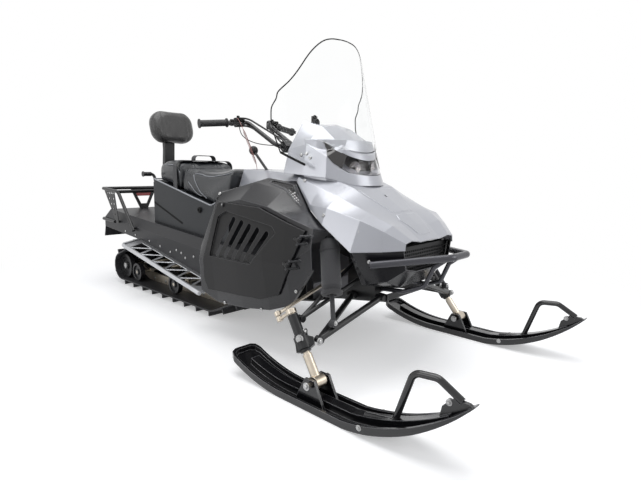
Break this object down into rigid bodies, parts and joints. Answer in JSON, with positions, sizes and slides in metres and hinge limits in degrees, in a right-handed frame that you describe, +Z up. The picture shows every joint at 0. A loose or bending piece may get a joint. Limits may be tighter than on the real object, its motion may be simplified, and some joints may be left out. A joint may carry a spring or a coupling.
{
  "type": "snowmobile",
  "caption": "Two-seat touring snowmobile with tall clear windshield, twin front skis on A-arms, a lugged rubber track under a tunnel, backrest and rear luggage rack.",
  "frame": {"origin": "on the ground under the middle of the machine's length and width", "axes": "+X forward, +Y to the machine's left, +Z up"},
  "size_m": [2.927, 1.197, 1.378],
  "materials": {
    "track_rubber": "moulded black rubber",
    "wheel_black": "moulded black plastic",
    "rail_grey": "extruded aluminium",
    "black_steel": "black powder coat",
    "tunnel_black": "dark painted sheet",
    "bare_aluminium": "bare aluminium",
    "matte_black": "grained dark plastic",
    "seat_vinyl": "grained vinyl",
    "strap_black": "woven webbing",
    "flap_rubber": "rubber sheet",
    "lamp_red": "red lamp lens",
    "silver_plastic": "light silver-grey moulded plastic",
    "lamp_clear": "clear lamp lens",
    "screen_clear": "clear bent sheet",
    "engine_metal": "cast aluminium",
    "bumper_grey": "dark metallic grey paint",
    "grip_rubber": "ribbed rubber",
    "zinc": "bare zinc-plated steel",
    "ski_black": "glossy black plastic",
    "shock_cloth": "woven cover"
  },
  "bodies": {
    "chassis": {"backrest_pad": "seat_vinyl", "backrest_post": "black_steel", "belly_pan": "matte_black", "console": "silver_plastic", "cowl_grilles": "matte_black", "drive_axle": "black_steel", "driver_cushion": "seat_vinyl", "engine": "engine_metal", "front_bumper": "bumper_grey", "front_frame": "black_steel", "gear_lever": "black_steel", "grab_handles": "zinc", "headlamp": "lamp_clear", "hood": "silver_plastic", "idler_wheels": "wheel_black", "knuckles": "black_steel", "nose": "matte_black", "nose_grille": "matte_black", "passenger_cushion": "seat_vinyl", "pod": "silver_plastic", "rear_bumper": "black_steel", "rear_rack": "black_steel", "running_boards": "bare_aluminium", "seat_base": "matte_black", "seat_strap": "strap_black", "shocks": "shock_cloth", "side_cowls": "matte_black", "skid_suspension": "black_steel", "slide_rails": "rail_grey", "snow_flap": "flap_rubber", "suspension_arms": "black_steel", "tail_lamp": "lamp_red", "track": "track_rubber", "tunnel": "tunnel_black", "windshield": "screen_clear"},
    "steering": {"bar_controls": "matte_black", "grips": "grip_rubber", "handlebar": "black_steel", "steering_column": "black_steel"},
    "spindle_right": {"spindle_right": "zinc"},
    "spindle_left": {"spindle_left": "zinc"},
    "ski_right": {"ski_loop_right": "ski_black", "ski_right": "ski_black"},
    "ski_left": {"ski_left": "ski_black", "ski_loop_left": "ski_black"},
    "tie_rod_right": {"tie_rod_right": "zinc"},
    "tie_rod_left": {"tie_rod_left": "zinc"},
    "panel_right": {"side_panel_right": "matte_black"},
    "panel_left": {"side_panel_left": "matte_black"}
  },
  "joints": [
    {"name": "handlebar_turn", "type": "hinge", "parent": "chassis", "child": "steering", "pos_m": [0.15, 0, 0.93], "axis": [-0.7611, 0, 0.6486], "range_deg": [-35, 35]},
    {"name": "steer_right", "type": "hinge", "parent": "chassis", "child": "spindle_right", "pos_m": [0.725, -0.508, 0.295], "axis": [-0.5926, 0.082, 0.8013], "range_deg": [-30, 30]},
    {"name": "tie_rod_right_ball", "type": "hinge", "parent": "spindle_right", "child": "tie_rod_right", "pos_m": [0.667, -0.51234, 0.25255], "axis": [-0.5926, 0.082, 0.8013], "range_deg": [-30, 30]},
    {"name": "ski_right_pitch", "type": "hinge", "parent": "spindle_right", "child": "ski_right", "pos_m": [0.884, -0.53, 0.08], "axis": [0, -1, 0], "range_deg": [-12, 12], "stiffness_Nm_per_rad": 60},
    {"name": "panel_right_open", "type": "hinge", "parent": "chassis", "child": "panel_right", "pos_m": [0.664, -0.4425, 0.4995], "axis": [0.4153, 0.1331, 0.8999], "range_deg": [0, 65]},
    {"name": "steer_left", "type": "hinge", "parent": "chassis", "child": "spindle_left", "pos_m": [0.725, 0.508, 0.295], "axis": [-0.5926, -0.082, 0.8013], "range_deg": [-30, 30]},
    {"name": "tie_rod_left_ball", "type": "hinge", "parent": "spindle_left", "child": "tie_rod_left", "pos_m": [0.667, 0.51234, 0.25255], "axis": [-0.5926, -0.082, 0.8013], "range_deg": [-30, 30]},
    {"name": "ski_left_pitch", "type": "hinge", "parent": "spindle_left", "child": "ski_left", "pos_m": [0.884, 0.53, 0.08], "axis": [0, -1, 0], "range_deg": [-12, 12], "stiffness_Nm_per_rad": 60},
    {"name": "panel_left_open", "type": "hinge", "parent": "chassis", "child": "panel_left", "pos_m": [0.664, 0.4425, 0.4995], "axis": [-0.4153, 0.1331, -0.8999], "range_deg": [0, 65]}
  ],
  "couplings": [
    {"joint": "steer_right", "follows": "handlebar_turn", "ratio": 0.85},
    {"joint": "tie_rod_right_ball", "follows": "handlebar_turn", "ratio": -0.85},
    {"joint": "steer_left", "follows": "handlebar_turn", "ratio": 0.85},
    {"joint": "tie_rod_left_ball", "follows": "handlebar_turn", "ratio": -0.85}
  ]
}
